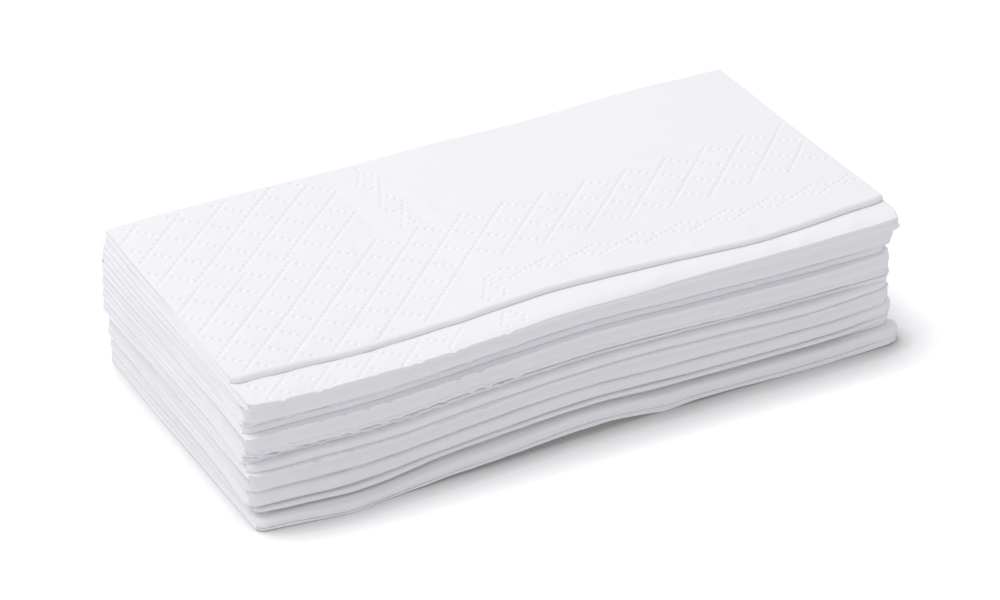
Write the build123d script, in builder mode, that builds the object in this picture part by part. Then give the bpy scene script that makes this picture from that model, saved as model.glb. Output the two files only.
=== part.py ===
"""Stack of paper napkins, folded to an eighth, in millimetres.

Each napkin is one square sheet of soft crepe tissue that was folded in half three times. The first fold runs
down the right-hand end, so the left-hand end is cut edges. The second and third folds run along the length:
the second is the upper front edge of a napkin, the third is its whole back edge, and the lower front edge is
cut. Seen from the left, a napkin is four passes of a double leaf, one above the other.

X runs along the stack to its right-hand end, Y to its back and Z up. The origin is under its middle.
"""

from build123d import *
from math import cos, pi, sin
import os

# The sheet, flat and folded.
sheet_side = 330.0
napkin_length = sheet_side / 2
napkin_depth = sheet_side / 4
leaf_thickness = 0.36
leaves_per_pass = 2
passes = 4
pass_gap = 0.12

# The stack.
napkin_count = 10
napkin_clearance = 0.12

# The slits that part the two leaves of a pass where the sheet is cut.
slit_width = 0.1
end_slit_depth = 9.0
front_slit_depth = 3.0
cut_overrun = 1.0

# How round a fold is: the facets of its half turn, and the bevel of the first fold, at the right-hand end.
outer_fold_facets = 6
inner_fold_facets = 3
crease_facets = 2
crease_bevel = 0.2

# The wave along the stack, at the underside of a napkin: it rests on two dips with a crest between them.
wave_height = 2.3
left_end_lift = 1.1
right_end_lift = 0.6
left_dip_start = 22.0
left_dip_end = 34.0
crest_start = 78.0
crest_end = 90.0
right_dip_start = 124.0
right_dip_end = 150.0
slope_runs = 3

# How far the napkins stand out of line, each list from the top napkin down and then over again.
upper_setback = 8.0
upper_setback_shares = (1.0, 0.1, 0.38, 0.3, 0.14, 0.42, 0.2, 0.12, 0.3, 0.22)
lower_setback = 3.0
lower_setback_shares = (0.0, 0.5, 0.3, 0.15, 0.7, 0.1, 0.35, 0.2, 0.5, -0.6)
end_stagger = 1.2
end_stagger_shares = (0.0, 0.3, -0.5, 0.4, -0.3, 0.1, 0.5, -0.2, 0.2, -0.6)
back_stagger = 1.0
back_stagger_shares = (0.0, 0.2, -0.5, 0.2, -0.3, 0.5, -0.2, 0.1, -0.4, 0.3)

# Sizes that follow from the ones above.
pass_thickness = leaves_per_pass * leaf_thickness
pass_pitch = pass_thickness + pass_gap
napkin_height = passes * pass_pitch - pass_gap
napkin_pitch = napkin_height + napkin_clearance
leaf_slit_inset = (pass_thickness - slit_width) / 2
left_slope = left_end_lift / left_dip_start


def slope_points(start, end, low, high):
    """Points on a smooth slope from (start, low) to (end, high), without its first point."""
    points = []
    for step in range(1, slope_runs + 1):
        share = step / slope_runs
        rise = (1 - cos(pi * share)) / 2
        points.append((start + (end - start) * share, low + (high - low) * rise))
    return points


def wave_path(start_x, base_z):
    """The line that the underside of a napkin follows, from its left end to its right end."""
    top_z = base_z + wave_height
    with BuildLine(Plane.XZ) as path:
        Polyline(
            (start_x, base_z + left_end_lift - left_slope * start_x),
            (left_dip_start, base_z),
            (left_dip_end, base_z),
            *slope_points(left_dip_end, crest_start, base_z, top_z),
            (crest_end, top_z),
            *slope_points(crest_end, right_dip_start, top_z, base_z),
            (right_dip_end, base_z),
            (start_x + napkin_length - crease_bevel, base_z + right_end_lift),
        )
    return path.wire()


def half_turn(centre_y, centre_z, radius, facets, toward):
    """Points round a fold from below it to above it; toward is 1 for a back fold and -1 for a front fold."""
    angles = [pi * step / facets for step in range(facets + 1)]
    return [(centre_y + toward * radius * sin(a), centre_z - radius * cos(a)) for a in angles]


def folded_pass(plane, lower_front, upper_front, back, inset):
    """The sheet's path across the napkin as a band: four passes and three folds, thinned by inset on each face."""
    floor = [number * pass_pitch + inset for number in range(passes)]
    roof = [number * pass_pitch + pass_thickness - inset for number in range(passes)]
    middle_z = napkin_height / 2
    back_turn = back - middle_z
    front_turn = upper_front + (pass_pitch + pass_thickness) / 2
    front_z = (floor[2] + roof[3]) / 2
    outer_wrap = half_turn(back_turn, middle_z, (roof[3] - floor[0]) / 2, outer_fold_facets, 1)
    outer_lining = half_turn(back_turn, middle_z, (floor[3] - roof[0]) / 2, inner_fold_facets, 1)
    inner_wrap = half_turn(back_turn, middle_z, (roof[2] - floor[1]) / 2, inner_fold_facets, 1)
    inner_crease = half_turn(back_turn, middle_z, (floor[2] - roof[1]) / 2, crease_facets, 1)
    front_wrap = half_turn(front_turn, front_z, (roof[3] - floor[2]) / 2, outer_fold_facets, -1)
    front_crease = half_turn(front_turn, front_z, (floor[3] - roof[2]) / 2, crease_facets, -1)
    with BuildSketch(plane) as band:
        with BuildLine():
            Polyline(
                (lower_front, floor[0]),
                *outer_wrap,
                *reversed(front_wrap),
                *reversed(inner_crease),
                (lower_front, roof[1]),
                (lower_front, floor[1]),
                *inner_wrap,
                *front_crease,
                *reversed(outer_lining),
                (lower_front, roof[0]),
                close=True,
            )
        make_face()
    return band.sketch


def front_slits(plane, lower_front):
    """The slits between the cut leaves at the lower front edge, as seen from the end."""
    middles = [number * pass_pitch + pass_thickness / 2 for number in range(passes // 2)]
    with BuildSketch(plane) as slits:
        with Locations(*[(lower_front, middle) for middle in middles]):
            Rectangle(2 * front_slit_depth, slit_width)
    return slits.sketch


def folded_napkin(number):
    """One napkin of the stack, counted from the top, as it lies on the ones below."""
    start_x = end_stagger * end_stagger_shares[number % len(end_stagger_shares)]
    lower_front = lower_setback * lower_setback_shares[number % len(lower_setback_shares)]
    upper_front = upper_setback * upper_setback_shares[number % len(upper_setback_shares)]
    back = napkin_depth + back_stagger * back_stagger_shares[number % len(back_stagger_shares)]
    place = napkin_count - number
    path = wave_path(start_x, place * napkin_pitch)
    left_end = Plane(origin=path @ 0, x_dir=(0, 1, 0), z_dir=path % 0)
    crease_start = Plane(origin=path @ 1, x_dir=(0, 1, 0), z_dir=path % 1)
    crease_end = crease_start.offset(crease_bevel)
    with BuildPart() as napkin:
        section = folded_pass(left_end, lower_front, upper_front, back, 0) - front_slits(left_end, lower_front)
        sweep(sections=section, path=path, transition=Transition.RIGHT)
        leaf_slit = folded_pass(left_end, lower_front - cut_overrun, upper_front, back, leaf_slit_inset)
        extrude(leaf_slit, amount=end_slit_depth, mode=Mode.SUBTRACT)
        crease_root = folded_pass(crease_start, lower_front, upper_front, back, 0)
        crease_tip = folded_pass(crease_end, lower_front + crease_bevel, upper_front, back, crease_bevel)
        loft(sections=[crease_root, crease_tip], ruled=True)
    napkin.part.label = f"napkin_{place:02d}"
    return napkin.part


napkins = [folded_napkin(number) for number in range(napkin_count)]
boxes = [napkin.bounding_box() for napkin in napkins]
middle_x = (min(box.min.X for box in boxes) + max(box.max.X for box in boxes)) / 2
middle_y = (min(box.min.Y for box in boxes) + max(box.max.Y for box in boxes)) / 2
lowest_z = min(box.min.Z for box in boxes)
under_the_middle = Location((-middle_x, -middle_y, -lowest_z))

os.makedirs("parts", exist_ok=True)
for napkin in napkins:
    placed = napkin.moved(under_the_middle)
    placed.label = napkin.label
    export_step(placed, f"parts/{napkin.label}.step")
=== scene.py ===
"""A stack of white embossed paper napkins, each folded to an eighth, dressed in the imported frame.

Lengths are millimetres until a mesh is made. In the folding frame X runs from the cut left end to the
creased right end, Y from the front edge to the folded back and Z up from the table, and x, y and z are
arrays of positions in it. The row frame has its origin under the middle of the stack.
"""

import logging
import math
from dataclasses import dataclass, field
from enum import Enum
from itertools import product

import bpy
import numpy as np
from mathutils import Matrix, Vector, geometry


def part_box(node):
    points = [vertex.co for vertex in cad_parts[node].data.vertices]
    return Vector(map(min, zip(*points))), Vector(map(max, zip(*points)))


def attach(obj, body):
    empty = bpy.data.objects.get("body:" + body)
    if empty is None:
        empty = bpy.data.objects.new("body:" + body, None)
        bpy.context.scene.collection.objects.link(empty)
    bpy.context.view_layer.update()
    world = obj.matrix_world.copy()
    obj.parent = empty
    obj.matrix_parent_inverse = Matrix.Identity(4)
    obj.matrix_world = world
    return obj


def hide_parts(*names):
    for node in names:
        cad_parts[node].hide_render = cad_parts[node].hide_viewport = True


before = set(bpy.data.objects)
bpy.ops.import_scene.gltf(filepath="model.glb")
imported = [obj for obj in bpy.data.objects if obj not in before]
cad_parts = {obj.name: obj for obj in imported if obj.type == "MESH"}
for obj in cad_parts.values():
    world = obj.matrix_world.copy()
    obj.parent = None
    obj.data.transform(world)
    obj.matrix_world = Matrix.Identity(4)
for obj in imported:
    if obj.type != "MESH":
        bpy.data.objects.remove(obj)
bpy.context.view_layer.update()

Array = np.ndarray
Pair = tuple[float, float]

MM = 0.001
SHEET_SIDE = 330.0
LENGTH = SHEET_SIDE / 2
DEPTH = SHEET_SIDE / 4
LOG = logging.getLogger("napkins")

# The share of a quarter circle that rounds a corner off without a step at its end.
ROUNDED = 0.97


def blend(low: Array, high: Array, share: Array) -> Array:
    """Mixes two values by a share from 0 to 1."""
    return low * (1 - share) + high * share


def smooth_step(value: Array, start: float, end: float) -> Array:
    """Rises smoothly from 0 at start to 1 at end."""
    share = np.clip((value - start) / (end - start), 0.0, 1.0)
    return share * share * (3 - 2 * share)


@dataclass(frozen=True)
class Profile:
    """A smooth line through given places.

    Attributes:
        places: positions along the line, rising.
        values: the height of the line at each place.
    """

    places: tuple[float, ...]
    values: tuple[float, ...]

    def at(self, where: Array) -> Array:
        """Returns the line's height at each position."""
        x = np.asarray(self.places)
        y = np.asarray(self.values)
        slope = np.gradient(y, x)
        where = np.clip(where, x[0], x[-1])
        i = np.clip(np.searchsorted(x, where) - 1, 0, len(x) - 2)
        run = x[i + 1] - x[i]
        t = (where - x[i]) / run
        start = y[i] * (1 + 2 * t) * (1 - t) ** 2 + slope[i] * run * t * (1 - t) ** 2
        end = y[i + 1] * t * t * (3 - 2 * t) + slope[i + 1] * run * t * t * (t - 1)
        return start + end


def ripple(x: Array, y: Array, seed: float, length: float) -> Array:
    """Returns soft unevenness from -1 to 1, the same on each run.

    Args:
        x: positions along the stack.
        y: positions across it.
        seed: a number that picks one of many patterns; near numbers give like patterns.
        length: the distance from crest to crest.
    """
    turn = 2 * math.pi / length
    first = np.sin(turn * (x + 0.35 * y) + 1.7 * seed)
    second = np.sin(turn * (0.61 * x - 0.83 * y) - 2.3 * seed + 1.1)
    third = np.sin(turn * (1.73 * x + 0.29 * y) + 3.1 * seed + 0.4)
    return (first + second + 0.6 * third) / 2.6


@dataclass(frozen=True)
class FrontEdge:
    """How one napkin shows at the front of the stack.

    Attributes:
        lower: height of its lower half, which ends in four cut leaves.
        upper: height of its upper half, which ends in a closed fold.
        lower_back: how far the cut leaves stand back from the stack's front.
        upper_back: how far the fold stands back.
        left: how far its cut end stands out at the left, at the front.
        skew: how much further it stands out there at the back.
        right: how far its crease stands out at the right, at the front.
        nick: where along the stack two rows of dots come nearest to each other at the cut edge.
        nick_gap: how far each of the two rows lies from that place.
        right_skew: how much further the crease stands out at the back.
        flare: how much further it stands out at its front corner.
    """

    lower: float
    upper: float
    lower_back: float
    upper_back: float
    left: float
    skew: float
    right: float
    nick: float
    nick_gap: float
    right_skew: float = 0.0
    flare: float = 0.0


FRONT_EDGES = (
    FrontEdge(0.3, 1.6, -1.75, -1.6, 0.3, 2.0, -1.3, 12.0, 1.6, 0.0, 3.6),
    FrontEdge(0.7, 1.2, 2.2, 0.4, 0.1, 2.3, 0.7, 13.4, 1.4, -1.5, 0.6),
    FrontEdge(0.85, 2.85, 1.7, 0.3, 0.7, 2.0, 0.7, 10.5, 2.2, -1.5, 1.0),
    FrontEdge(0.8, 3.6, 1.6, 0.6, 0.1, 2.2, 0.4, 15.0, 0.9, -1.5),
    FrontEdge(1.05, 2.0, -0.2, 0.7, 0.6, 2.8, 0.1, 14.0, 1.4, -1.5),
    FrontEdge(0.8, 1.0, 2.6, 2.9, 0.6, 2.8, 1.1, 16.4, 1.8, -1.8),
    FrontEdge(1.7, 3.5, 1.7, 1.1, 0.2, 3.0, 0.6, 12.2, 2.0, -1.8),
    FrontEdge(1.2, 1.75, -0.1, 1.8, 0.6, 2.3, -0.4, 14.2, 2.85, -1.8),
    FrontEdge(1.0, 3.8, 2.1, 0.9, 0.2, 2.35, 1.2, 11.0, 1.2, -2.2, 0.3),
    FrontEdge(1.65, 1.1, 0.0, 9.4, -0.3, 1.8, 3.6, 17.8, 1.3, -5.8, -2.4),
)


@dataclass(frozen=True)
class StackForm:
    """The form that all the napkins share, so that each lies on the one below.

    The front edge dips twice and lifts between. The waves fade towards the folded back, which is near level.

    Attributes:
        edges: how each napkin shows at the front, from the bottom one up.
        waves: the lift of the front edge along the stack at some heights, from the underside to the top.
        wave_shares: the share of the stack's height at which each of those waves holds.
        flap: how far the topmost fold lies back from the front, along the stack.
        back_height: height of the stack along its back.
        back_wave: how far the top strays from that height along the back.
        forward: how far the lowest napkins bulge forward along the stack.
        forward_shares: how much of that each of them takes.
        even: the depth from the front over which the halves become even.
        wave_depth: the depth over which the waves fade.
        right_even: the stretch at the creased end where the halves become more even.
        right_share: how much more even they become there.
        unevenness: how far each surface strays from an even one.
        uneven_length: the distance from crest to crest of that unevenness.
        curl: how far each surface curls up or down at the cut end's front corner.
        curl_reach: how far the curl reaches along the stack and across it.
    """

    edges: tuple[FrontEdge, ...] = FRONT_EDGES
    waves: tuple[Profile, ...] = (
        Profile(
            (0, 12, 30, 45, 60, 78, 88, 96, 103, 111, 122, 140, 165),
            (0.2, 0.1, 0, 0.6, 1.1, 1.9, 1.9, 1.0, 0, 0.6, 0.4, 0, 0.4),
        ),
        Profile(
            (0, 14, 30, 45, 60, 85, 103, 125, 140, 155, 165),
            (0.8, 0.3, 0, 1.6, 2.8, 3.8, 2.9, 2.4, 2.3, 2.4, 2.6),
        ),
        Profile((0, 14, 30, 60, 85, 110, 140, 165), (0.7, 0.3, 0, 1.8, 2.9, 2.3, 1.2, 1.3)),
        Profile((0, 14, 30, 60, 85, 110, 140, 165), (0.7, 0.3, 0, 1.7, 2.8, 2.1, 1.2, 1.2)),
        Profile((0, 14, 30, 60, 85, 110, 140, 165), (1.0, 0.5, 0, 1.6, 2.3, 1.7, 0.9, 1.0)),
        Profile(
            (0, 5, 16, 30, 46, 62, 75, 90, 110, 135, 150, 165),
            (0.9, 0.7, 0.1, -0.2, 0.2, 1.3, 2.2, 2.5, 2.3, 2.0, 2.2, 2.5),
        ),
    )
    wave_shares: tuple[float, ...] = (0.0, 0.15, 0.45, 0.8, 0.9, 0.95)
    flap: Profile = Profile(
        (0, 14, 21, 25, 32, 36, 48, 58, 68, 85, 100, 110, 120, 130, 145, 160, 165),
        (9.8, 9.9, 9.9, 9.7, 9.5, 9.6, 9.6, 9.2, 9.4, 9.4, 8.7, 7.9, 7.1, 6.4, 7.2, 8.4, 8.7),
    )
    back_height: float = 35.8
    back_wave: Profile = Profile(
        (0, 10, 27, 58, 82, 94, 145, 165),
        (-0.1, 0.2, 0.35, -0.3, 0.1, -0.15, 0.2, -0.2),
    )
    forward: Profile = Profile((0, 10, 21, 30, 42, 60, 85, 165), (0.7, 1.6, 3.0, 2.0, 1.3, 0.9, 0.0, -0.4))
    forward_shares: tuple[float, ...] = (1.0, 0.45, 0.3, 0.12)
    even: float = 16.0
    wave_depth: float = 84.0
    right_even: Pair = (148.0, 163.0)
    right_share: float = 0.4
    unevenness: float = 0.12
    uneven_length: float = 47.0
    curl: float = 0.3
    curl_reach: Pair = (5.0, 7.0)

    def heights(self) -> Array:
        """Returns the height of each half's underside at the front, and of the top."""
        halves = [height for edge in self.edges for height in (edge.lower, edge.upper)]
        return np.concatenate(([0.0], np.cumsum(halves)))

    def level(self, half: int, x: Array, y: Array) -> Array:
        """Returns the height of the surface between two halves; half is the number of halves under it."""
        front = self.heights()
        share = half / (len(front) - 1)
        deep = np.maximum(y, 0.0)
        near = np.exp(-((deep / self.even) ** 2)) * (1 - self.right_share * smooth_step(x, *self.right_even))
        order = int(np.clip(np.searchsorted(self.wave_shares, share) - 1, 0, len(self.waves) - 2))
        start, end = self.wave_shares[order], self.wave_shares[order + 1]
        between = min((share - start) / (end - start), 1.0)
        lift = blend(self.waves[order].at(x), self.waves[order + 1].at(x), between)
        fade = 1 - deep / self.wave_depth
        at_front = blend(share * front[-1], front[half], near) + lift
        at_back = share * (self.back_height + self.back_wave.at(x))
        body = blend(at_back, at_front, fade)
        along, across = self.curl_reach
        corner = np.exp(-((x / along) ** 2) - (deep / across) ** 2) * math.sin(2.3 * half + 0.6)
        body = body + self.curl * corner * min(half / 2, 1.0)
        return body + self.unevenness * ripple(x, y, 0.35 * half, self.uneven_length) * min(half / 3, 1.0)


class Path(Enum):
    """The stretches of the sheet's path across the stack, from its lower cut edge to its inner one."""

    BOTTOM = "first pass, going back"
    OUTER_WRAP = "outer fold at the back"
    TOP = "fourth pass, coming forward"
    NOSE = "fold at the front"
    UPPER_INSIDE = "third pass, going back"
    INNER_WRAP = "inner fold at the back"
    LOWER_INSIDE = "second pass, coming forward"


@dataclass(frozen=True)
class Lattice:
    """A lattice of diamonds whose sides are rows of dots.

    Attributes:
        origin: one crossing of two rows.
        rise: a side that rises to the right, across and up.
        fall: a side that falls to the right.
        steps: dots along a side.
    """

    origin: Pair
    rise: Pair
    fall: Pair
    steps: int = 4

    def at(self, i: float, j: float) -> Pair:
        """Returns the place that lies i rising and j falling sides from the origin."""
        across = self.origin[0] + i * self.rise[0] + j * self.fall[0]
        return across, self.origin[1] + i * self.rise[1] + j * self.fall[1]

    def dots(self, cells: list[tuple[int, int]]) -> list[Pair]:
        """Returns each dot once, on the sides of diamonds that are given by their left corners."""
        marks = set()
        for i, j in cells:
            for step in range(self.steps + 1):
                for far in (0, self.steps):
                    marks.add((i * self.steps + step, j * self.steps + far))
                    marks.add((i * self.steps + far, j * self.steps + step))
        return [self.at(i / self.steps, j / self.steps) for i, j in sorted(marks)]

    def share(self, x: Array, y: Array) -> Array:
        """Returns how far each place lies from the nearest row, as a share of a side."""
        (a, b), (c, d) = self.rise, self.fall
        size = a * d - b * c
        across, up = x - self.origin[0], y - self.origin[1]
        i = (across * d - up * c) / size
        j = (up * a - across * b) / size
        return np.minimum(np.abs(i - np.round(i)), np.abs(j - np.round(j)))


@dataclass(frozen=True)
class Crease:
    """A soft crease in the paper.

    Attributes:
        start: one end.
        end: the other end.
        width: how far it reaches to each side.
        height: how far it stands up, or lies down where negative.
    """

    start: Pair
    end: Pair
    width: float
    height: float

    def lift(self, x: Array, y: Array) -> Array:
        """Returns how far the crease lifts the paper at each position."""
        run = np.array(self.end) - np.array(self.start)
        length = float(np.hypot(*run))
        along = ((x - self.start[0]) * run[0] + (y - self.start[1]) * run[1]) / length
        aside = ((y - self.start[1]) * run[0] - (x - self.start[0]) * run[1]) / length
        ends = smooth_step(along, -2.0, 0.3 * length) * (1 - smooth_step(along, 0.6 * length, length + 0.8))
        return self.height * np.exp(-((aside / self.width) ** 2)) * ends


@dataclass(frozen=True)
class EmbossPattern:
    """The dotted pattern that is pressed into the sheet: diamond lattices with a chain of small diamonds.

    Attributes:
        front: the lattice of the corner and of the band along the stack.
        back: the lattice of the band along the cut end.
        drift: how far the pattern moves back towards the creased end, along the stack.
        rows: how many rows of diamonds lie on each side of the band's middle row.
        corner: the last falling row of diamonds in the corner.
        side: how far from the cut end the band along it reaches.
        side_fade: the stretch along the stack over which the relief of that band fades.
        side_start: the depth over which it begins.
        band_start: the stretch over which the front relief draws back from the front, along the stack.
        band_front: how far back it then begins.
        band_back: the depth over which it fades.
        loop: dots along a side of a small diamond.
        creases: the soft creases of the upper half.
        strip_creases: those of the strip in front of it.
        search: the numbers of sides between which diamonds are looked for.
        beyond: how far past the sheet's edges the front lattice goes on.
        strip_depth: the depth from which dots of that lattice can lie on the strip.
        strip_cells: diamonds that only the strip shows.
        strip_shift: how far the strip's pattern lies off from the upper half's.
        dot_radius: radius of a dot's rim.
        dot_depth: how deep a dot is pressed.
        rim: how far the paper stands up round a dot, as a share of its depth.
        puff: how far the paper stands up between the rows of dots.
        mottle: how far the paper is uneven from its crepe.
        least_gap: the least distance between the middles of two dots.
        neighbours: how many of the dots before it each dot is compared with for that.
        row_width: how far from a row the paper stands up fully, as a share of a side.
    """

    front: Lattice = Lattice((10.05, 39.25), (5.1, 4.85), (5.85, -5.05))
    back: Lattice = Lattice((8.9, 61.3), (5.72, 5.35), (5.48, -5.35))
    drift: Profile = Profile((0, 75, 120, 140, 155, 168), (0.0, 0.0, 0.9, 1.8, 2.7, 4.2))
    rows: int = 1
    corner: int = 5
    side: float = 54.0
    side_fade: Pair = (50.0, 55.0)
    side_start: Pair = (50.0, 52.0)
    band_start: Pair = (32.0, 38.0)
    band_front: float = 24.0
    band_back: Pair = (45.0, 50.0)
    loop: int = 3
    creases: tuple[Crease, ...] = (
        Crease((55.6, 48.0), (54.0, 74.0), 1.1, -0.24),
        Crease((68.4, 44.0), (65.0, 64.0), 1.3, -0.34),
        Crease((70.6, 42.0), (69.2, 72.0), 1.1, 0.22),
        Crease((47.0, 44.0), (50.5, 56.0), 1.4, -0.16),
        Crease((59.5, 50.0), (56.5, 80.0), 1.8, 0.14),
        Crease((115.0, 7.5), (118.5, 15.0), 1.2, 0.16),
        Crease((125.0, 7.0), (127.0, 15.0), 1.5, -0.14),
        Crease((129.0, 6.5), (133.0, 16.0), 1.4, 0.18),
        Crease((59.0, 10.0), (55.0, 22.0), 1.8, 0.14),
        Crease((33.0, 10.0), (40.0, 18.0), 1.6, 0.24),
        Crease((18.0, 10.0), (26.0, 22.0), 2.0, 0.14),
    )
    strip_creases: tuple[Crease, ...] = (
        Crease((121.5, 0.4), (123.0, 3.8), 1.3, 0.26),
        Crease((131.0, 0.4), (132.5, 3.4), 1.4, 0.36),
        Crease((139.0, 0.2), (143.5, 4.6), 1.5, 0.36),
        Crease((147.5, 0.2), (151.0, 5.0), 1.3, -0.24),
        Crease((153.5, 0.2), (156.5, 5.6), 1.6, 0.3),
        Crease((101.0, 0.2), (105.0, 4.4), 2.0, 0.22),
        Crease((34.5, 0.4), (35.3, 6.6), 2.2, 0.26),
        Crease((12.0, 0.4), (12.8, 6.8), 2.2, 0.2),
        Crease((3.0, 0.4), (5.0, 6.8), 1.6, -0.2),
        Crease((52.0, 0.4), (54.5, 6.4), 2.0, 0.18),
    )
    search: tuple[int, int] = (-8, 18)
    beyond: float = 4.0
    strip_depth: float = 16.0
    strip_cells: tuple[tuple[int, int], ...] = ((0, 6), (-1, 6))
    strip_shift: Pair = (0.3, -0.6)
    dot_radius: float = 0.82
    dot_depth: float = 0.32
    rim: float = 0.13
    puff: float = 0.08
    mottle: float = 0.035
    least_gap: float = 1.45
    neighbours: int = 90
    row_width: float = 0.3

    def cells(self) -> list[tuple[int, int]]:
        """Returns the left corner of each diamond of the front lattice, in its sides."""
        found = []
        for i, j in product(range(*self.search), repeat=2):
            x, y = self.front.at(i + 0.5, j + 0.5)
            in_band = abs(i - j) <= self.rows
            in_corner = j <= self.corner and i - j <= self.rows
            on_sheet = -self.beyond < x < LENGTH + self.beyond and y > -self.beyond
            if (in_band or in_corner) and on_sheet:
                found.append((i, j))
        return found

    def side_cells(self) -> list[tuple[int, int]]:
        """Returns the left corner of each diamond of the back lattice, in its sides."""
        found = []
        for i, j in product(range(*self.search), repeat=2):
            bottom = self.back.at(i, j + 1)[1]
            right = self.back.at(i + 1, j + 1)[0]
            if self.side_start[0] < bottom < DEPTH + 1 and -3 < right < self.side:
                found.append((i, j))
        return found

    def chain(
        self,
        start: Pair,
        up: Pair,
        down: Pair,
        count: int,
        pitch: Pair,
    ) -> list[Pair]:
        """Returns the dots of a chain of small diamonds.

        Args:
            start: the left corner of the first small diamond.
            up: one step along its rising side.
            down: one step along its falling side.
            count: how many small diamonds there are.
            pitch: from one small diamond to the next.
        """
        dots = []
        for number in range(count):
            corner = (start[0] + number * pitch[0], start[1] + number * pitch[1])
            dots += Lattice(corner, self.stretched(up), self.stretched(down), self.loop).dots([(0, 0)])
        return dots

    def stretched(self, step: Pair) -> Pair:
        """Returns a whole side of a small diamond from one step along it."""
        return step[0] * self.loop, step[1] * self.loop

    def dots(self) -> Array:
        """Returns the middle of every dot on the folded top, one row each."""
        dots = self.front.dots(self.cells()) + self.back.dots(self.side_cells())
        dots += self.chain((67.9, 20.3), (1.62, 0.6), (1.74, -0.86), 9, (11.7, -0.5))
        dots += self.chain((64.15, 13.95), (1.0, 1.63), (0.9, -1.6), 1, (0.0, 0.0))
        dots += self.chain((60.3, 60.8), (0.8, 1.7), (1.1, -1.7), 2, (-0.35, 11.8))
        dots += [(64.4, 53.0), (64.7, 51.2), (62.1, 52.8), (61.2, 51.0), (62.6, 79.3), (63.2, 81.0)]
        found = np.array(sorted(dots))
        found[:, 1] += self.drift.at(found[:, 0])
        return self.apart(found)

    def strip_dots(self) -> Array:
        """Returns the middle of every dot on the strip in front of the topmost fold."""
        cells = self.cells() + list(self.strip_cells)
        cells = [cell for cell in cells if self.front.at(*cell)[1] < self.strip_depth]
        dots = self.front.dots(cells) + self.chain((63.6, 4.4), (1.0, 1.63), (0.9, -1.6), 1, (0.0, 0.0))
        return self.apart(np.array(sorted(dots)) + np.array(self.strip_shift))

    def apart(self, dots: Array) -> Array:
        """Returns the dots without those that lie too near to one before them."""
        kept = []
        for dot in dots:
            near = kept[-self.neighbours :]
            if all(math.hypot(*(dot - other)) > self.least_gap for other in near):
                kept.append(dot)
        return np.array(kept)

    def pressed(self, far: Array) -> Array:
        """Returns how deep the paper lies at some distances from the middle of the nearest dot."""
        share = np.minimum(far / self.dot_radius, 1.0)
        pit = 0.5 + 0.5 * np.cos(math.pi * share)
        rim = np.exp(-(((far / self.dot_radius - 1.1) / 0.25) ** 2))
        return self.dot_depth * (pit - self.rim * rim)

    def lift(self, x: Array, y: Array, strip: bool) -> Array:
        """Returns how far the paper of the strip or the upper half stands up between dots and at creases."""
        back = y - self.drift.at(x)
        side = (1 - smooth_step(x, *self.side_fade)) * smooth_step(back, *self.side_start)
        low_line = self.band_front * smooth_step(x - 1.05 * y, *self.band_start)
        band = smooth_step(back, 0.0, 1.0) * smooth_step(back, low_line, low_line + 4)
        band = band * (1 - smooth_step(back, *self.band_back))
        puffed = side * smooth_step(self.back.share(x, back), 0.0, self.row_width)
        puffed = puffed + band * smooth_step(self.front.share(x, back), 0.0, self.row_width)
        grain = ripple(x, y, 2.7, 7.3) + 0.8 * ripple(x, y, 5.1, 3.9)
        height = self.puff * puffed + self.mottle * grain * (0.25 + 0.75 * np.maximum(side, band))
        for crease in self.strip_creases if strip else self.creases:
            height = height + crease.lift(x, y)
        return height


def spaced(start: float, end: float, count: int, power: float) -> Array:
    """Returns values from start to end that crowd towards the start; with a power of 1 they are even."""
    return start + (end - start) * np.linspace(0, 1, count) ** power


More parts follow.
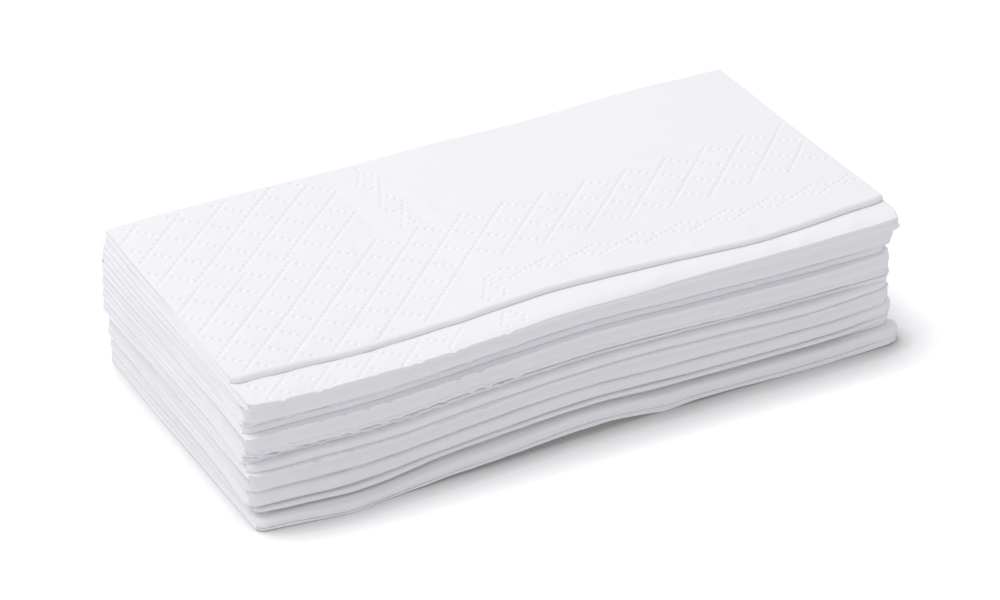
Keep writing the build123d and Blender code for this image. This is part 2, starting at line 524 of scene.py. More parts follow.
@dataclass
class FoldedNapkin:
    """One sheet of tissue, folded in half three times, as one closed surface.

    The sheet's path across the stack has four passes and three folds. Along the stack the sheet is doubled,
    with its first fold at the right-hand end, so each pass is two leaves that only that fold joins.

    Attributes:
        form: the form of the whole stack.
        place: the napkin's place in the stack, from 0 at the bottom.
        pattern: the embossed dots, on the napkin whose top is seen, or None.
        leaf: most that one leaf with its crepe measures through.
        leaf_share: the share of the leaves' spacing that a leaf takes.
        leaf_pitch: most that the middles of two leaves of a pass lie apart.
        fold_pitch: most that they lie apart where the front fold is pressed.
        cut_leaf: most that a leaf measures through at the cut edge, where it is fluffed up.
        cut_share: the share of the leaves' spacing that it takes there.
        lean: how far a front fold leans back over its height.
        lean_most: the height beyond which it leans no further.
        top_corner: most for the radius of a front fold's upper corner.
        low_corner: radius of its lower corner.
        soft_edge: how far the topmost cut leaf curls down at the front, along the stack.
        soft_plain: how far the other cut leaves do.
        soft_width: how far back the curl reaches.
        fold_spread: the depth behind a front fold over which its leaves spread.
        cut_spread: the depth behind a cut edge over which its fluffed leaves thin.
        ledge: how far the topmost napkin's second pass stands back from the first one.
        ledge_start: the stretch over which this begins, away from the cut end.
        corner_left: length over which the front rounds off at the cut end.
        corner_right: length over which it rounds off at the creased end.
        right_setback: where the edges tend to lie at the creased end, and how strongly they do.
        right_rounding: how far back the front rounds there, as a share of its length, on top and below.
        lip: how far the soft middle of a cut edge stands out from its faces.
        fan: how much further the lowest pass stands out at the cut end than the highest.
        nick_pitch: distance from one crossing of the embossed rows to the next.
        nick_width: how far the edge stands out to each side of a crossing.
        nick_end: the stretch over which the nicks end, where the embossed corner of the sheet ends.
        nick_out: how far the edge stands out at a nick.
        nick_fall: how far it falls there, for the lower leaf and the upper one.
        dent: how far a front fold is dented at a nick.
        edge_width: how far back from a cut edge its own form reaches.
        edge_lean: how far a cut edge leans back for its height.
        fray: how uneven a cut edge is.
        fray_length: the distance from crest to crest there.
        bottom_rise: how far the lowest leaf's cut edge lifts.
        sway: how far the fold and the cut edge stray along the stack, each with the distance between crests.
        back_sway: the same for the back.
        end_reach: how far along the stack its ends' own form reaches.
        end_sway: how far the leaves' cut ends stray across the stack, with the distance between crests.
        right_sway: how far the first fold does, on top and below.
        right_length: the distance between its crests.
        back_corner: how far the back corners' rounding reaches across the stack and along it.
        flare_reach: how far back the front corner stands out at the first fold.
        stations_close: number of positions along the stack where it is embossed to its edges.
        stations_wide: number of positions along the rest.
        embossed_end: how far along the stack it is embossed to its edges.
        pass_rows: points along a pass.
        pass_crowding: how strongly they crowd towards the front.
        nose_steps: facets of the front fold.
        turn_steps: facets of a fold at the back.
        crease_steps: points round the first fold.
        hidden_rows: points of the second pass that lie far under the top fold and stay plain.
        join: the step between the front fold and the passes that it joins.
    """

    form: StackForm
    place: int
    pattern: EmbossPattern | None = None
    leaf: float = 0.6
    leaf_share: float = 0.9
    leaf_pitch: float = 0.95
    fold_pitch: float = 0.18
    cut_leaf: float = 1.1
    cut_share: float = 0.97
    lean: float = 0.27
    lean_most: float = 3.0
    top_corner: float = 0.6
    low_corner: float = 0.12
    soft_edge: Profile = Profile(
        (0, 50, 70, 85, 100, 115, 135, 165),
        (0.12, 0.16, 0.4, 0.5, 0.8, 0.4, 0.3, 0.35),
    )
    soft_plain: float = 0.06
    soft_width: float = 1.4
    fold_spread: Pair = (0.9, 4.5)
    cut_spread: Pair = (1.0, 6.0)
    ledge: float = 0.28
    ledge_start: Pair = (52.0, 76.0)
    corner_left: float = 2.2
    corner_right: float = 4.0
    right_setback: Pair = (0.3, 0.6)
    right_rounding: Pair = (0.15, 0.75)
    lip: float = 0.14
    fan: float = 0.6
    nick_pitch: float = 11.17
    nick_width: float = 0.7
    nick_end: Pair = (64.0, 70.0)
    nick_out: float = 0.3
    nick_fall: Pair = (0.5, 0.36)
    dent: float = 0.14
    edge_width: float = 0.9
    edge_lean: float = 0.22
    fray: float = 0.07
    fray_length: float = 6.3
    bottom_rise: float = 0.07
    sway: tuple[Pair, ...] = ((0.2, 61.0), (0.1, 15.0))
    back_sway: Pair = (0.35, 70.0)
    end_reach: float = 16.0
    end_sway: Pair = (0.22, 53.0)
    right_sway: Pair = (0.08, 0.3)
    right_length: float = 41.0
    back_corner: Pair = (3.6, 2.8)
    flare_reach: float = 4.0
    stations_close: int = 83
    stations_wide: int = 50
    embossed_end: float = 66.0
    pass_rows: int = 13
    pass_crowding: float = 2.3
    nose_steps: int = 14
    turn_steps: int = 8
    crease_steps: int = 5
    hidden_rows: int = 6
    join: float = 0.02
    name: str = field(init=False)

    def __post_init__(self) -> None:
        """Names the napkin for its place."""
        self.name = f"napkin_{self.place + 1:02d}"
        self.edge = self.form.edges[self.place]
        self.topmost = self.place == len(self.form.edges) - 1

    def stations(self) -> Array:
        """Returns the positions along the stack, closer where the embossing crosses the edges."""
        left = np.linspace(0, self.embossed_end, self.stations_close)
        right = np.linspace(self.embossed_end, LENGTH, self.stations_wide)
        return np.concatenate((left, right[1:]))

    def line(self, x: Array, upper: bool) -> Array:
        """Returns how far back the upper half's fold, or else the lower half's cut edge, lies."""
        shares = self.form.forward_shares
        low = shares[self.place] if self.place < len(shares) else 0.0
        seed = 1.3 * self.place + (0 if upper else 5)
        uneven = 0 * x
        for number, (most, length) in enumerate(self.sway):
            uneven = uneven + most * ripple(x, 0 * x, seed + 3 * number, length)
        if upper and self.topmost:
            setback = self.form.flap.at(x)
        else:
            plain = self.edge.upper_back if upper else self.edge.lower_back
            rest, share = self.right_setback
            setback = blend(plain, min(plain, rest), share * smooth_step(x, *self.form.right_even))
        left_corner = np.clip(1 - x / self.corner_left, 0, 1)
        right_corner = np.clip(1 - (LENGTH - x) / self.corner_right, 0, 1)
        rounding = self.corner_left * 0.5 * (1 - np.sqrt(1 - left_corner**2))
        right_depth = self.right_rounding[0 if self.topmost else 1] * self.corner_right
        rounding = rounding + right_depth * (1 - np.sqrt(1 - ROUNDED * right_corner**2))
        return setback - low * self.form.forward.at(x) + uneven + rounding

    def nicks(self, x: Array, seed: float) -> Array:
        """Returns how far a cut edge stands out where rows of dots cross it, as a share from 0 to about 1.

        The bottom napkin, which the table holds, has no nicks. The seed picks one of many patterns.
        """
        out = 0 * x
        for side in (-1, 1):
            turn = (x - self.edge.nick - side * self.edge.nick_gap) / self.nick_pitch
            far = (turn - np.round(turn)) * self.nick_pitch
            kept = 0.62 + 0.38 * np.sin(2.4 * np.round(turn) + seed + side)
            out = np.maximum(out, kept * np.exp(-((far / self.nick_width) ** 2)))
        free = 0.0 if self.place == 0 else 1.0
        return free * out * (1 - smooth_step(x, *self.nick_end))

    def soft(self, x: Array, y: Array) -> Array:
        """Returns how far the lower half's upper face curls down near its cut edge."""
        far = y - self.line(x, False)
        most = self.soft_edge.at(x) if self.topmost else self.soft_plain
        return most * np.exp(-((np.maximum(far, 0.0) / self.soft_width) ** 2))

    def leaves(self, x: Array, y: Array, upper: bool) -> tuple[Array, ...]:
        """Lays out the leaves of the napkin's upper or lower half.

        Returns:
            The heights of the half's two passes, the distance between the middles of a pass's two leaves, and
            how much a leaf measures through.
        """
        half = 2 * self.place + (1 if upper else 0)
        low = self.form.level(half, x, y)
        high = self.form.level(half + 1, x, y)
        far = y - self.line(x, upper)
        if upper:
            most = blend(self.fold_pitch, self.leaf_pitch, smooth_step(far, *self.fold_spread))
            pitch = np.minimum((high - low) / 4, most)
            thick = np.minimum(self.leaf, self.leaf_share * pitch)
        else:
            high = high - self.soft(x, y)
            deep = smooth_step(far, *self.cut_spread)
            pitch = np.minimum((high - low) / 4, blend(self.cut_leaf, self.leaf_pitch, deep))
            filled = blend(self.cut_share, self.leaf_share, deep) * pitch
            thick = np.minimum(blend(self.cut_leaf, self.leaf, deep), filled)
        return low + pitch, high - pitch, pitch, thick

    def nose_back(self, share: Array, height: Array) -> Array:
        """Returns how far a front fold of some height lies back at each share of that height."""
        rise = share * height
        top = np.minimum(0.6 * height, self.top_corner)
        over = np.clip((rise - (height - top)) / top, 0, 1)
        under = np.clip((self.low_corner - rise) / self.low_corner, 0, 1)
        rounding = top * (1 - np.sqrt(1 - over**2)) + self.low_corner * (1 - np.sqrt(1 - under**2))
        return rounding + self.lean * np.minimum(height, self.lean_most) * share**1.5

    def stretch(self, kind: Path, x: Array) -> tuple[Array, ...]:
        """Lays out one stretch of the path.

        Returns:
            Position across, height, the distance between the two leaves, their thickness and how far a leaf's
            end leans back for its height, each with a row for each step and a column for each position.
        """
        stray, length = self.back_sway
        back_edge = DEPTH + stray * ripple(x, 0 * x, self.place + 11, length)
        deep = 0 * x + DEPTH
        low, lower_inside, lower_pitch, lower_thick = self.leaves(x, deep, False)
        upper_inside, high, upper_pitch, upper_thick = self.leaves(x, deep, True)
        outer_radius = (high - low) / 2
        inner_radius = (upper_inside - lower_inside) / 2
        back_turn = back_edge - outer_radius - (lower_pitch + lower_thick) / 2
        fold = self.line(x, True)
        nose_low, nose_high, nose_pitch, nose_thick = self.leaves(x, fold, True)
        nose = nose_high - nose_low
        nose_front = fold + (nose_pitch + nose_thick) / 2
        if kind in (Path.BOTTOM, Path.LOWER_INSIDE, Path.TOP, Path.UPPER_INSIDE):
            upper = kind in (Path.TOP, Path.UPPER_INSIDE)
            order = 1 if kind in (Path.LOWER_INSIDE, Path.TOP) else 0
            fold_end = nose_front + self.nose_back(float(order), nose) + self.join
            start = fold_end if upper else self.line(x, False)
            if kind is Path.LOWER_INSIDE and self.topmost:
                start = start + self.ledge * smooth_step(x, *self.ledge_start)
            share = spaced(0, 1, self.pass_rows, self.pass_crowding)[:, None]
            y = start + (back_turn - start) * share
            wide = np.broadcast_to(x, y.shape)
            found = self.leaves(wide, y, upper)
            z, pitch, thick = found[order], found[2], found[3]
            lean = 0 * y
            if not upper:
                near = np.exp(-(((y - start) / self.edge_width) ** 2))
                out_there = self.nicks(wide, 1.7 * self.place)
                fray = self.fray * ripple(wide, 0 * wide, 1.7 * self.place, self.fray_length)
                under = self.form.level(2 * self.place, wide, y)
                z = z - (self.nick_fall[order] * out_there - self.bottom_rise * (1 - order)) * near
                lean = self.edge_lean * near
                y = y - (self.nick_out * out_there + fray) * near + lean * (z - under)
            rows = (y, z, pitch, thick, lean)
            backwards = kind in (Path.TOP, Path.LOWER_INSIDE)
            return tuple(row[::-1] for row in rows) if backwards else rows
        steps = self.nose_steps if kind is Path.NOSE else self.turn_steps
        angle = np.linspace(0, math.pi, steps + 1)[1:-1, None]
        if kind is Path.OUTER_WRAP:
            y = back_turn + outer_radius * np.sin(angle)
            z = (high + low) / 2 - outer_radius * np.cos(angle)
            pitch, thick = blend(lower_pitch, upper_pitch, angle / math.pi), lower_thick
        elif kind is Path.NOSE:
            share = (1 + np.cos(angle)) / 2
            dent = self.dent * self.nicks(x, 2.0 + self.place) * np.sin(angle)
            y = nose_front + self.nose_back(share, nose) + dent
            z = nose_low + nose * share
            pitch, thick = nose_pitch, nose_thick
        else:
            y = back_turn + inner_radius * np.sin(angle)
            z = (upper_inside + lower_inside) / 2 + inner_radius * np.cos(angle)
            pitch, thick = blend(upper_pitch, lower_pitch, angle / math.pi), upper_thick
        return y, z, pitch + 0 * y, thick + 0 * y, 0 * y

    def path(self, x: Array) -> tuple[list[Array], dict[Path, slice]]:
        """Joins the stretches of the path.

        Returns:
            The rows that stretch() gives and the two parts of the direction out of the first leaf, for the
            whole path, and the rows that each stretch takes.
        """
        parts, where, at = [], {}, 0
        for kind in Path:
            rows = self.stretch(kind, x)
            parts.append(rows)
            where[kind] = slice(at, at + len(rows[0]))
            at += len(rows[0])
        rows = [np.concatenate(column) for column in zip(*parts)]
        across, up = np.gradient(rows[0], axis=0), np.gradient(rows[1], axis=0)
        length = np.hypot(across, up)
        return rows + [up / length, -across / length], where

    def along(self, x: Array, y: Array, z: Array, leaf: float) -> Array:
        """Returns x with the two ends moved to where the outer leaf (1) or the inner one (-1) ends."""
        near_left = np.exp(-((x / self.end_reach) ** 2))
        near_right = np.exp(-(((LENGTH - x) / self.end_reach) ** 2))
        seed = 2.1 * self.place + 0.9 * leaf
        deep = np.clip(y / DEPTH, 0, 1)
        low = self.form.level(2 * self.place, x, y)
        high = self.form.level(2 * self.place + 2, x, y)
        across, most = self.back_corner
        corner = np.clip((y - DEPTH + across) / across, 0, 1)
        rounding = most * (1 - np.sqrt(1 - ROUNDED * corner**2))
        left = self.edge.left + self.edge.skew * deep + self.fan * np.clip((high - z) / (high - low), 0, 1)
        stray, length = self.end_sway
        left = left + stray * ripple(y, 3 * z, seed, length) + 0.1 * leaf - 0.7 * rounding
        right = self.edge.right + self.edge.right_skew * deep**0.6 - rounding
        right = right + self.edge.flare * np.exp(-((np.maximum(y, 0.0) / self.flare_reach) ** 2))
        stray = self.right_sway[0 if self.topmost else 1]
        right = right + stray * ripple(y, 2 * z, seed + 4, self.right_length)
        return x - near_left * left + near_right * right

    def surface(self) -> tuple[Array, Array, dict[Path, slice], int]:
        """Lays out the closed surface of the sheet.

        Returns:
            The points in path rows by positions round the doubled sheet, the faces' corner numbers, the rows
            of each stretch, and the number of positions along one face of a leaf.
        """
        x = self.stations()
        (y, z, space, thick, lean, out_y, out_z), where = self.path(x)
        wide = np.broadcast_to(x, y.shape)
        ends = {leaf: self.along(wide, y, z + out_z * leaf * space / 2, leaf) for leaf in (1, -1)}

        def face(leaf: int, side: int) -> Array:
            """Points on one face of one leaf: side 1 is the face away from the other leaf."""
            off = leaf * (space / 2 + side * thick / 2)
            return np.stack((ends[leaf], y + (out_y + lean * out_z) * off, z + out_z * off), axis=-1)

        def lip(leaf: int) -> Array:
            """Points along the soft middle of a leaf's cut edge."""
            off = leaf * space[:, :1] / 2
            at = ends[leaf][:, :1] - self.lip
            return np.stack((at, y[:, :1] + out_y[:, :1] * off, z[:, :1] + out_z[:, :1] * off), axis=-1)

        def crease(side: int) -> Array:
            """Points round the first fold, from the outer leaf to the inner one."""
            angle = np.linspace(0, math.pi, self.crease_steps + 2)[1:-1]
            radius = space[:, -1:] / 2 + side * thick[:, -1:] / 2
            end = blend(ends[1][:, -1:], ends[-1][:, -1:], angle / math.pi)
            off = radius * np.sign(np.cos(angle)) * np.abs(np.cos(angle)) ** 0.7
            reach = end + radius * np.sin(angle) ** 0.7
            up = z[:, -1:] + out_z[:, -1:] * off
            return np.stack((reach, y[:, -1:] + out_y[:, -1:] * off, up), axis=-1)

        ring = (
            face(1, 1),
            crease(1),
            face(-1, 1)[:, ::-1],
            lip(-1),
            face(-1, -1),
            crease(-1)[:, ::-1],
            face(1, -1)[:, ::-1],
            lip(1),
        )
        points = np.concatenate(ring, axis=1)
        points[..., 2] = np.maximum(points[..., 2], 0.0)
        count, around = points.shape[:2]
        number = np.arange(count * around).reshape(count, around)
        ahead = np.roll(number, -1, axis=1)
        quads = np.stack((number[:-1], ahead[:-1], ahead[1:], number[1:]), axis=-1)
        return points, quads, where, len(x)

    def caps(self, points: Array) -> list[list[int]]:
        """Returns the faces that close the sheet's two cut edges at the front."""
        count, around = points.shape[:2]
        first = np.arange(around // 2 - 1)
        last = around - 2 - first
        start = np.stack((first[:-1], last[:-1], last[1:], first[1:]), axis=-1).tolist()
        start.append([int(first[-1]), int(last[-1]), around // 2 - 1])
        start.append([int(last[0]), 0, around - 1])
        end = [[corner + (count - 1) * around for corner in face[::-1]] for face in start]
        return start + end

    def build(self, material: bpy.types.Material) -> bpy.types.Object:
        """Returns the napkin's mesh as an object in the row frame, with the given finish."""
        points, quads, where, wide = self.surface()
        keep = np.ones(quads.shape[:2], bool)
        loose_points: list[Array] = [points.reshape(-1, 3)]
        patches: list[list[int]] = []
        if self.pattern is not None:
            for kind, first in ((Path.TOP, 0), (Path.LOWER_INSIDE, self.hidden_rows)):
                top, bottom = where[kind].start + first, where[kind].stop - 1
                keep[top:bottom, 0 : wide - 1] = False
                patch = EmbossedPatch(self, kind, top, bottom, wide)
                added, triangles = patch.build(points, sum(len(block) for block in loose_points))
                loose_points.append(added)
                patches.extend(triangles)
        all_faces = quads[keep].tolist() + self.caps(points) + patches
        mesh = bpy.data.meshes.new(self.name + "_sheet")
        shift = row_shift()
        mesh.from_pydata(((np.concatenate(loose_points) + shift) * MM).tolist(), [], all_faces)
        mesh.polygons.foreach_set("use_smooth", [True] * len(mesh.polygons))
        mesh.set_sharp_from_angle(angle=math.radians(72))
        mesh.materials.append(material)
        mesh.update()
        piece = add_object(self.name + "_sheet", mesh)
        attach(piece, "root")
        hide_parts(self.name)
        return piece


@dataclass
class EmbossedPatch:
    """A stretch of a leaf's upper face with the dots pressed into it, in place of plain faces.

    Attributes:
        napkin: the napkin that the patch belongs to.
        kind: the stretch of the path that it lies on.
        top: the first row of the path that it takes.
        bottom: the last row.
        wide: the number of positions along the leaf.
        rings: the radius, as a share of the dot's, and number of points of each ring of a dot.
        ground: distance between the points of the plain ground.
        margins: least distance from the patch's edge of a dot, a ring's point and a point of the ground.
        ground_gap: least distance from a dot's outer ring to a point of the ground.
        under_flap: how far in front of the top fold the strip's dots fade out.
        overhang: how far past the sheet's ends the plain ground is laid before it is cut to the patch.
        edge_width: how far from the patch's edge the relief reaches its full height.
    """

    napkin: FoldedNapkin
    kind: Path
    top: int
    bottom: int
    wide: int
    rings: tuple[tuple[float, int], ...] = ((0.0, 1), (0.28, 6), (0.55, 8), (0.82, 9), (1.1, 10), (1.42, 10))
    ground: float = 1.2
    margins: tuple[float, float, float] = (0.75, 0.12, 0.5)
    ground_gap: float = 0.3
    under_flap: Pair = (-1.7, -0.4)
    overhang: float = 2.0
    edge_width: float = 2.4

    def height(self, xy: Array) -> Array:
        """Returns the plain height of the leaf's upper face."""
        upper = self.kind is Path.TOP
        found = self.napkin.leaves(xy[:, 0], xy[:, 1], upper)
        return found[1] + (found[2] + found[3]) / 2

    def build(self, points: Array, first: int) -> tuple[Array, list[list[int]]]:
        """Fills the patch.

        Args:
            points: the napkin's points, as rows of the path by positions round the sheet.
            first: the number that the first new point gets.

        Returns:
            The new points and the triangles between them and the patch's edge.
        """
        pattern = self.napkin.pattern
        strip = self.kind is not Path.TOP
        around = points.shape[1]
        number = np.arange(points.shape[0] * around).reshape(points.shape[0], around)
        loop = np.concatenate(
            (
                number[self.top, : self.wide],
                number[self.top + 1 : self.bottom, self.wide - 1],
                number[self.bottom, : self.wide][::-1],
                number[self.top + 1 : self.bottom, 0][::-1],
            )
        )
        edge = points.reshape(-1, 3)[loop]
        low_y, high_y = edge[:, 1].min(), edge[:, 1].max()
        dots = pattern.strip_dots() if strip else pattern.dots()
        dot_margin, ring_margin, ground_margin = self.margins
        dots = dots[self.inside(dots, points, dot_margin)]
        new_xy = []
        for radius, count in self.rings:
            angle = 2 * math.pi * (np.arange(count) + 0.5 * (count % 2)) / count
            ring = np.stack((np.cos(angle), np.sin(angle)), axis=-1) * radius * pattern.dot_radius
            ring_xy = (dots[:, None, :] + ring[None]).reshape(-1, 2)
            ring_xy = ring_xy[self.inside(ring_xy, points, ring_margin)]
            if radius > 1.0:
                ring_xy = ring_xy[self.nearest(ring_xy, dots) > 0.98 * radius * pattern.dot_radius]
            new_xy.append(ring_xy)
        nx = int((LENGTH + 2 * self.overhang) / self.ground)
        ny = max(2, int((high_y - low_y) / self.ground))
        along = np.linspace(-self.overhang, LENGTH + self.overhang, nx)
        gx, gy = np.meshgrid(along, np.linspace(low_y, high_y, ny))
        gx = gx + (np.arange(ny)[:, None] % 2) * self.ground * 0.5
        grid = np.stack((gx.ravel(), gy.ravel()), axis=-1)
        grid = grid[self.inside(grid, points, ground_margin)]
        outer = self.rings[-1][0] * pattern.dot_radius + self.ground_gap
        new_xy.append(grid[self.nearest(grid, dots) > outer])
        xy = np.concatenate(new_xy)
        drop = pattern.pressed(self.nearest(xy, dots))
        if strip:
            behind = xy[:, 1] - self.napkin.line(xy[:, 0], True)
            drop = drop * (1 - smooth_step(behind, *self.under_flap))
        fade = self.edge_fade(xy, points)
        z = self.height(xy) - drop + pattern.lift(xy[:, 0], xy[:, 1], strip) * fade
        flat = [Vector(pair) for pair in edge[:, :2].tolist()] + [Vector(pair) for pair in xy.tolist()]
        sides = [(i, (i + 1) % len(loop)) for i in range(len(loop))]
        made = geometry.delaunay_2d_cdt(flat, sides, [], 1, 1e-5)
        names = list(loop) + [first + i for i in range(len(xy))]
        spare = [names[source[0]] if source else -1 for source in made[3]]
        triangles = [[int(spare[i]) for i in face] for face in made[2]]
        triangles = [face for face in triangles if min(face) >= 0 and len(set(face)) == 3]
        return np.column_stack((xy, z)), triangles

    def nearest(self, xy: Array, dots: Array) -> Array:
        """Returns how far each position lies from the middle of the nearest dot."""
        near = np.full(len(xy), 99.0)
        for start in range(0, len(dots), 100):
            block = dots[start : start + 100]
            gap = np.hypot(xy[:, None, 0] - block[None, :, 0], xy[:, None, 1] - block[None, :, 1])
            near = np.minimum(near, gap.min(axis=1))
        return near

    def rim(self, xy: Array, points: Array) -> tuple[Array, ...]:
        """Returns how far each position lies inside each of the patch's four edges."""
        x, y = xy[:, 0], xy[:, 1]
        lines = []
        for row in (self.top, self.bottom):
            lines.append(np.interp(x, points[row, : self.wide, 0], points[row, : self.wide, 1]))
        middle = slice(self.top, self.bottom + 1)
        ends = []
        for column in (0, self.wide - 1):
            rows = points[middle, column]
            order = np.argsort(rows[:, 1])
            ends.append(np.interp(y, rows[order, 1], rows[order, 0]))
        return y - np.minimum(*lines), np.maximum(*lines) - y, x - ends[0], ends[1] - x

    def edge_fade(self, xy: Array, points: Array) -> Array:
        """Returns a share that falls to 0 at the patch's edge."""
        return smooth_step(np.minimum.reduce(self.rim(xy, points)), 0.0, self.edge_width)

    def inside(self, xy: Array, points: Array, margin: float) -> Array:
        """Returns whether each position lies in the patch by at least a margin."""
        return np.minimum.reduce(self.rim(xy, points)) > margin


def row_shift() -> Array:
    """Returns what takes a point of the folding frame to the row frame, in millimetres."""
    low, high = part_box("napkin_10")
    return np.array([low[0] / MM, high[1] / MM - DEPTH, 0.0])


def linear(colour: str) -> tuple[float, float, float, float]:
    """Turns a colour's six sRGB hex digits into linear red, green and blue, with an alpha of 1."""
    parts = [int(colour[i : i + 2], 16) / 255 for i in (1, 3, 5)]
    light = [part / 12.92 if part <= 0.04045 else ((part + 0.055) / 1.055) ** 2.4 for part in parts]
    return light[0], light[1], light[2], 1.0


def add_node(
    tree: bpy.types.NodeTree, kind: str, settings: dict | None = None, inputs: dict | None = None
) -> bpy.types.Node:
    """Adds a shader node with its settings and links.

    Args:
        tree: the node tree.
        kind: the node's type name, without its first part.
        settings: attributes to set, by name.
        inputs: values or output sockets, by the name or number of the input.

    Returns:
        The new node.
    """
    node = tree.nodes.new("ShaderNode" + kind)
    for key, value in (settings or {}).items():
        setattr(node, key, value)
    for key, value in (inputs or {}).items():
        if isinstance(value, bpy.types.NodeSocket):
            tree.links.new(value, node.inputs[key])
        else:
            node.inputs[key].default_value = value
    return node


def calculate(tree: bpy.types.NodeTree, operation: str, *values: object) -> bpy.types.NodeSocket:
    """Adds a calculation with numbers or output sockets, and returns its result."""
    return add_node(tree, "Math", {"operation": operation}, dict(enumerate(values))).outputs[0]


def empty_tree(owner: bpy.types.ID) -> bpy.types.NodeTree:
    """Returns the node tree of a material or a world, emptied."""
    owner.use_nodes = True
    owner.node_tree.nodes.clear()
    return owner.node_tree


def add_object(name: str, data: bpy.types.ID) -> bpy.types.Object:
    """Returns a new object in the scene, with a mesh, a camera or a lamp as its data."""
    added = bpy.data.objects.new(name, data)
    bpy.context.scene.collection.objects.link(added)
    return added


@dataclass(frozen=True)
class CrepedTissue:
    """Bleached two-ply tissue, creped dry and embossed: matt, with a faint crepe grain and a soft edge glow.

    Attributes:
        colour: the bleached pulp, a white with a trace of violet from its brightener.
        shade: the slightly duller white where the pulp is thinner.
        crepe_mm: the pitch of the crepe ridges, which run along the stack.
        crepe_share: their width as a share of their length, which squeezes the grain.
        crepe_depth_mm: how deep they are.
        crepe_strength: how strongly they show in the light.
        cloud_mm: the size of the clouds that the pulp forms.
        roughness: that of matt paper.
        specular: the faint shine of its fibres.
        sheen: the soft glow of its edges.
    """

    colour: str = "#F6F6F9"
    shade: str = "#F2F2F5"
    crepe_mm: float = 0.45
    crepe_share: float = 0.35
    crepe_depth_mm: float = 0.05
    crepe_strength: float = 0.35
    cloud_mm: float = 9.0
    roughness: float = 0.92
    specular: float = 0.25
    sheen: float = 0.08

    def build(self) -> bpy.types.Material:
        """Returns the tissue's material."""
        material = bpy.data.materials.new("creped_tissue")
        tree = empty_tree(material)
        place = add_node(tree, "TexCoord").outputs["Object"]
        clouds = add_node(
            tree,
            "TexNoise",
            inputs={"Vector": place, "Scale": 1 / (self.cloud_mm * MM), "Detail": 4.0, "Roughness": 0.6},
        )
        tone = add_node(
            tree,
            "Mix",
            {"data_type": "RGBA"},
            {"Factor": clouds.outputs["Fac"], 6: linear(self.shade), 7: linear(self.colour)},
        )
        # The crepe is noise that is squeezed across its ridges, so that it reads as short soft ones.
        squeeze = {"Vector": place, "Scale": (self.crepe_share, 1.0, 1.0)}
        squeezed = add_node(tree, "Mapping", inputs=squeeze)
        crepe = add_node(
            tree,
            "TexNoise",
            inputs={"Vector": squeezed.outputs[0], "Scale": 1 / (self.crepe_mm * MM), "Detail": 3.0},
        )
        bump = add_node(
            tree,
            "Bump",
            inputs={
                "Height": crepe.outputs["Fac"],
                "Strength": self.crepe_strength,
                "Distance": self.crepe_depth_mm * MM,
            },
        )
        paper = add_node(
            tree,
            "BsdfPrincipled",
            inputs={
                "Base Color": tone.outputs[2],
                "Roughness": self.roughness,
                "Specular IOR Level": self.specular,
                "Sheen Weight": self.sheen,
                "Normal": bump.outputs[0],
            },
        )
        add_node(tree, "OutputMaterial", inputs={"Surface": paper.outputs[0]})
        return material


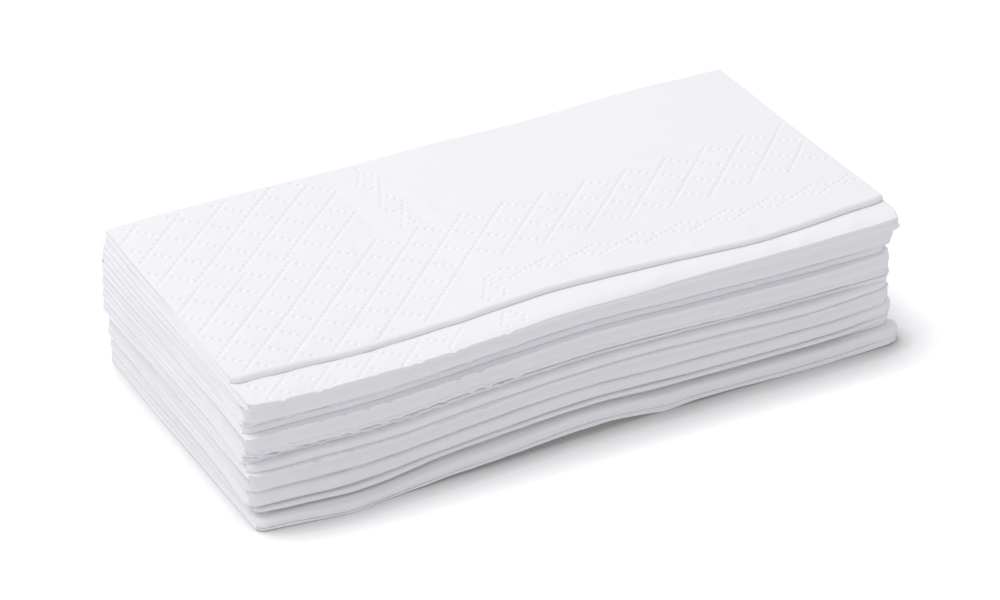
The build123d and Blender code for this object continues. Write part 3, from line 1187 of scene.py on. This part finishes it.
@dataclass(frozen=True)
class Studio:
    """A white floor with painted shade near the stack, soft light from the left and behind, and the camera.

    Attributes:
        picture_width: the width in pixels of the picture that the next length is measured in.
        focal_pixels: the camera's focal length in those pixels.
        sensor_width: the width of the camera's sensor, in millimetres.
        yaw: the camera's heading, from the stack's Y towards its X, in radians.
        pitch: how far it looks down, in radians.
        roll: how far it leans, in radians.
        distance: from the camera to its target, in millimetres.
        target: the point on the table that it looks at, in the folding frame.
        painted_contact_shades: distances in millimetres within which painted shade darkens the floor near the
            stack for the camera,
        deepening its shadow, each with the direction that this painted shade falls away from.
        painted_shade_power: how strongly that painted shade darkens the floor.
        floor_gain: how much brighter than white the camera sees the floor, so that it burns out to white.
        floor_glow: the light that keeps the deepest shadow on the floor grey for the camera.
        floor_reach: from the middle of the floor to its sides, in metres.
        floor_colour: the floor as it lights the stack.
        light_colour: the colour of the even light from all round.
        even_light: its strength.
        lamp_place: where the soft lamp hangs, in metres in the row frame.
        lamp_size: the length of its side, in metres.
        lamp_power: its power, in watts.
    """

    picture_width: float = 1000.0
    focal_pixels: float = 4302.2
    sensor_width: float = 36.0
    yaw: float = 0.4504
    pitch: float = 0.5533
    roll: float = -0.0231
    distance: float = 1045.87
    target: tuple[float, float, float] = (91.03, 61.0, 0.0)
    painted_contact_shades: tuple[tuple[float, tuple[float, float, float]], ...] = (
        (16.0, (0.0, 0.6, 0.7)),
        (5.0, (-0.52, 0.6, 0.6)),
    )
    painted_shade_power: float = 0.7
    floor_gain: float = 1.18
    floor_glow: float = 0.165
    floor_reach: float = 6.0
    floor_colour: str = "#EEEEF0"
    light_colour: str = "#FDFDFF"
    even_light: float = 0.66
    lamp_place: tuple[float, float, float] = (-0.6, 0.6, 1.4)
    lamp_size: float = 1.2
    lamp_power: float = 12.2

    def camera(self) -> bpy.types.Object:
        """Returns the camera at the photograph's viewing angle."""
        level = math.cos(self.pitch)
        ahead = Vector((math.sin(self.yaw) * level, math.cos(self.yaw) * level, -math.sin(self.pitch)))
        side = ahead.cross(Vector((0, 0, 1))).normalized()
        above = side.cross(ahead)
        right = math.cos(self.roll) * side + math.sin(self.roll) * above
        up = -math.sin(self.roll) * side + math.cos(self.roll) * above
        place = (Vector(self.target) + Vector(row_shift().tolist())) * MM - ahead * self.distance * MM
        data = bpy.data.cameras.new("camera")
        data.sensor_width = self.sensor_width
        data.lens = self.focal_pixels / self.picture_width * self.sensor_width
        data.clip_start = 0.01
        data.clip_end = 20.0
        camera = add_object("camera", data)
        turn = Matrix((right, up, -ahead)).transposed()
        camera.matrix_world = Matrix.Translation(place) @ turn.to_4x4()
        bpy.context.scene.camera = camera
        return camera

    def lamp(self) -> None:
        """Hangs a square soft lamp that points at the stack."""
        data = bpy.data.lights.new("soft_behind", "AREA")
        data.size = self.lamp_size
        data.energy = self.lamp_power
        lamp = add_object("soft_behind", data)
        lamp.location = self.lamp_place
        lamp.rotation_euler = (-Vector(self.lamp_place)).to_track_quat("-Z", "Y").to_euler()

    def world(self) -> None:
        """Lights the stack evenly from all round, and shows white where nothing stands."""
        world = bpy.data.worlds.new("studio")
        bpy.context.scene.world = world
        tree = empty_tree(world)
        lighting = {"Color": linear(self.light_colour), "Strength": self.even_light}
        even = add_node(tree, "Background", inputs=lighting)
        white = add_node(tree, "Background", inputs={"Color": linear("#FFFFFF"), "Strength": 1.0})
        add_node(tree, "OutputWorld", inputs={"Surface": self.seen(tree, even, white)})

    def seen(
        self, tree: bpy.types.NodeTree, light: bpy.types.Node, look: bpy.types.Node
    ) -> bpy.types.NodeSocket:
        """Mixes what lights the scene with what is seen in its place.

        Args:
            tree: the node tree.
            light: the shader for the rays that only carry light.
            look: the shader for rays from the camera, a mirror or glass.

        Returns:
            The mixed shader.
        """
        rays = add_node(tree, "LightPath").outputs
        shiny = calculate(tree, "MAXIMUM", rays["Is Glossy Ray"], rays["Is Transmission Ray"])
        direct = calculate(tree, "MAXIMUM", rays["Is Camera Ray"], shiny)
        parts = {0: direct, 1: light.outputs[0], 2: look.outputs[0]}
        return add_node(tree, "MixShader", inputs=parts).outputs[0]

    def floor(self) -> bpy.types.Object:
        """Returns the white floor, which keeps the stack's shadow, with painted shade near the stack for the
        camera.
        """
        material = bpy.data.materials.new("white_floor")
        tree = empty_tree(material)
        matt = add_node(tree, "BsdfDiffuse", inputs={"Color": linear(self.floor_colour)})
        # Painted shade: ambient occlusion darkens the floor that the camera sees near the stack, deepening
        # its real shadow, and an even glow keeps the darkest of it grey.
        shares = []
        for distance, direction in self.painted_contact_shades:
            parts = dict(enumerate(Vector(direction).normalized()))
            tilt = add_node(tree, "CombineXYZ", inputs=parts)
            reach = {"Distance": distance * MM, "Normal": tilt.outputs[0]}
            shares.append(add_node(tree, "AmbientOcclusion", {"samples": 8}, reach).outputs["AO"])
        painted_floor_shade = calculate(tree, "POWER", calculate(tree, "MULTIPLY", *shares), self.painted_shade_power)
        bright = calculate(tree, "MULTIPLY", painted_floor_shade, self.floor_gain)
        lit = add_node(tree, "BsdfDiffuse", inputs={"Color": bright})
        glow = add_node(tree, "Emission", inputs={"Strength": self.floor_glow})
        shown = add_node(tree, "AddShader", inputs={0: lit.outputs[0], 1: glow.outputs[0]})
        add_node(tree, "OutputMaterial", inputs={"Surface": self.seen(tree, matt, shown)})
        mesh = bpy.data.meshes.new("floor")
        side = self.floor_reach
        corners = [(-side, -side, 0), (side, -side, 0), (side, side, 0), (-side, side, 0)]
        mesh.from_pydata(corners, [], [(0, 1, 2, 3)])
        mesh.materials.append(material)
        floor = add_object("floor", mesh)
        return floor

    def build(self) -> None:
        """Sets up the floor, the light and the camera."""
        self.camera()
        self.floor()
        self.world()
        self.lamp()
        bpy.context.scene.view_settings.view_transform = "Standard"


def main() -> None:
    """Builds the studio and each napkin from the bottom up."""
    logging.basicConfig(level=logging.INFO, format="%(message)s")
    Studio().build()
    tissue = CrepedTissue().build()
    form = StackForm()
    for place in range(len(form.edges)):
        on_top = place == len(form.edges) - 1
        napkin = FoldedNapkin(form, place, EmbossPattern() if on_top else None)
        piece = napkin.build(tissue)
        LOG.info("%s: %d faces", piece.name, len(piece.data.polygons))


if __name__ == "__main__":
    main()
